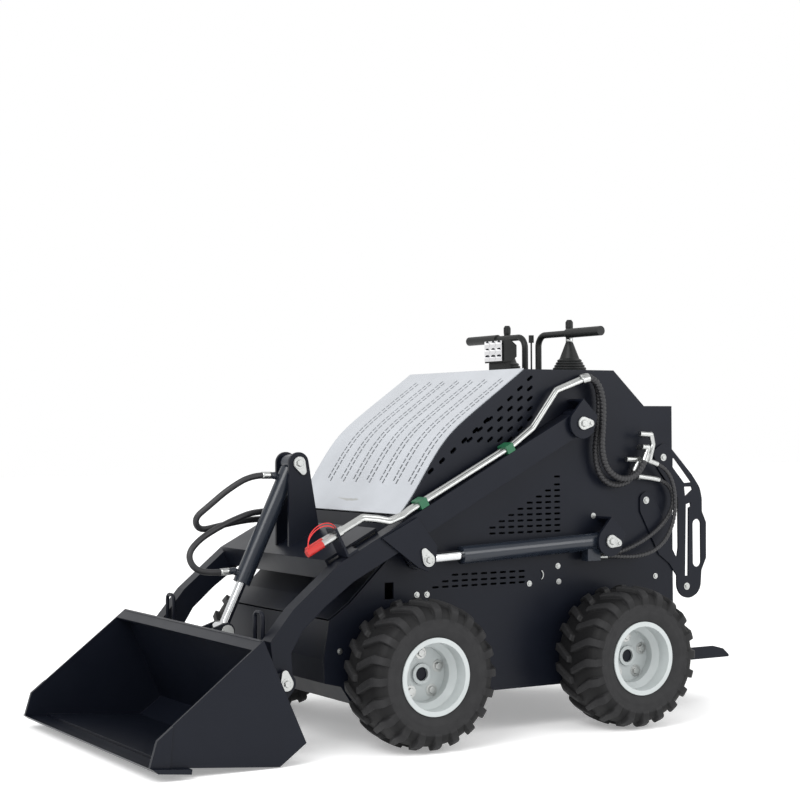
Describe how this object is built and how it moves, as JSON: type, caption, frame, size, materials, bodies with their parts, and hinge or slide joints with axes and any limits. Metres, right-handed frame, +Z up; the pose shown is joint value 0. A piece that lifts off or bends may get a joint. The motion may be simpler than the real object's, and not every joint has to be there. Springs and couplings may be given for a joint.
{
  "type": "mini skid steer loader",
  "caption": "Compact stand-on wheeled skid steer loader with lift arms, hydraulic cylinders, a bucket and a rear operator platform.",
  "frame": {"origin": "on the ground under the middle of the machine's length and width", "axes": "+X forward, towards the bucket; +Y to the machine's left; +Z up"},
  "size_m": [2.288, 1.2012, 1.342],
  "materials": {
    "body_paint": "satin powder coat, very dark blue black",
    "hood_paint": "satin light grey",
    "rim_paint": "satin light grey",
    "tyre_rubber": "dull charcoal",
    "rod_chrome": "polished",
    "pipe_zinc": "bright zinc",
    "wear_steel": "dark, worn edge",
    "grip_rubber": "matt black",
    "hose_rubber": "matt black",
    "clamp_green": "matt green",
    "cap_red": "red",
    "engine_grey": "dull"
  },
  "bodies": {
    "chassis": {"arm_brackets": "body_paint", "arm_hose_inner": "hose_rubber", "arm_hose_outer": "hose_rubber", "belly_pan": "body_paint", "chassis_pins": "pipe_zinc", "console": "body_paint", "engine_block": "engine_grey", "front_panel": "body_paint", "guard_left": "body_paint", "guard_right": "body_paint", "hand_bars": "body_paint", "hood": "hood_paint", "hydraulic_ports": "pipe_zinc", "joysticks": "grip_rubber", "lift_brackets": "body_paint", "lift_hose_lower": "hose_rubber", "lift_hose_upper": "hose_rubber", "platform": "body_paint", "rear_panel": "body_paint", "side_plate_left": "body_paint", "side_plate_right": "body_paint", "throttle": "pipe_zinc", "wheel_motors": "engine_grey", "work_lamp": "body_paint"},
    "arms": {"arm_left": "body_paint", "arm_pins": "pipe_zinc", "arm_pipes": "pipe_zinc", "arm_right": "body_paint", "coupler_bracket": "body_paint", "coupler_caps": "cap_red", "cross_member": "body_paint", "pipe_clamps": "clamp_green", "quick_couplers": "pipe_zinc", "tilt_fittings": "pipe_zinc", "tilt_hose_lower": "hose_rubber", "tilt_hose_upper": "hose_rubber"},
    "bucket": {"attach_frame": "body_paint", "bucket_pins": "pipe_zinc", "bucket_shell": "body_paint", "cutting_edge": "wear_steel"},
    "lift_barrel_left": {"lift_barrel_left": "body_paint"},
    "lift_barrel_right": {"lift_barrel_right": "body_paint"},
    "lift_rod_left": {"lift_rod_left": "rod_chrome"},
    "lift_rod_right": {"lift_rod_right": "rod_chrome"},
    "wheel_front_left": {"rim_front_left": "rim_paint", "tyre_front_left": "tyre_rubber"},
    "wheel_front_right": {"rim_front_right": "rim_paint", "tyre_front_right": "tyre_rubber"},
    "wheel_rear_left": {"rim_rear_left": "rim_paint", "tyre_rear_left": "tyre_rubber"},
    "wheel_rear_right": {"rim_rear_right": "rim_paint", "tyre_rear_right": "tyre_rubber"},
    "tilt_barrel": {"tilt_barrel": "body_paint"},
    "tilt_rod": {"tilt_rod": "rod_chrome"}
  },
  "joints": [
    {"name": "spin_front_left", "type": "hinge", "parent": "chassis", "child": "wheel_front_left", "pos_m": [0.248, 0.493, 0.229], "axis": [0, 1, 0], "continuous": true},
    {"name": "spin_front_right", "type": "hinge", "parent": "chassis", "child": "wheel_front_right", "pos_m": [0.248, -0.493, 0.229], "axis": [0, 1, 0], "continuous": true},
    {"name": "spin_rear_left", "type": "hinge", "parent": "chassis", "child": "wheel_rear_left", "pos_m": [-0.536, 0.493, 0.229], "axis": [0, 1, 0], "continuous": true},
    {"name": "spin_rear_right", "type": "hinge", "parent": "chassis", "child": "wheel_rear_right", "pos_m": [-0.536, -0.493, 0.229], "axis": [0, 1, 0], "continuous": true},
    {"name": "arm_lift", "type": "hinge", "parent": "chassis", "child": "arms", "pos_m": [-0.408, 0, 0.987], "axis": [0, -1, 0], "range_deg": [0, 75], "deforming": ["arm_hose_inner", "arm_hose_outer"]},
    {"name": "lift_swing_left", "type": "hinge", "parent": "chassis", "child": "lift_barrel_left", "pos_m": [-0.519, 0.4, 0.599], "axis": [0, -1, 0], "range_deg": [0, 54.48], "deforming": ["lift_hose_lower", "lift_hose_upper"]},
    {"name": "lift_stroke_left", "type": "slide", "parent": "lift_barrel_left", "child": "lift_rod_left", "axis": [0.999, 0, -0.0455], "range_m": [0, 0.3805]},
    {"name": "lift_swing_right", "type": "hinge", "parent": "chassis", "child": "lift_barrel_right", "pos_m": [-0.519, -0.4, 0.599], "axis": [0, -1, 0], "range_deg": [0, 54.48]},
    {"name": "lift_stroke_right", "type": "slide", "parent": "lift_barrel_right", "child": "lift_rod_right", "axis": [0.999, 0, -0.0455], "range_m": [0, 0.3805]},
    {"name": "bucket_tilt", "type": "hinge", "parent": "arms", "child": "bucket", "pos_m": [0.677, 0, 0.225], "axis": [0, -1, 0], "range_deg": [-75, 15]},
    {"name": "tilt_swing", "type": "hinge", "parent": "arms", "child": "tilt_barrel", "pos_m": [0.429, 0, 0.864], "axis": [0, -1, 0], "range_deg": [-1.2, 5.7], "deforming": ["tilt_hose_upper", "tilt_hose_lower"]},
    {"name": "tilt_stroke", "type": "slide", "parent": "tilt_barrel", "child": "tilt_rod", "axis": [0.432, 0, -0.9019], "range_m": [-0.0268, 0.1301]}
  ],
  "couplings": [
    {"joint": "lift_swing_left", "follows": "arm_lift", "ratio": 0.72511},
    {"joint": "lift_stroke_left", "follows": "arm_lift", "m_per_rad": 0.28991},
    {"joint": "lift_swing_right", "follows": "arm_lift", "ratio": 0.72511},
    {"joint": "lift_stroke_right", "follows": "arm_lift", "m_per_rad": 0.28991},
    {"joint": "tilt_swing", "follows": "bucket_tilt", "ratio": -0.075},
    {"joint": "tilt_stroke", "follows": "bucket_tilt", "m_per_rad": -0.098595}
  ]
}
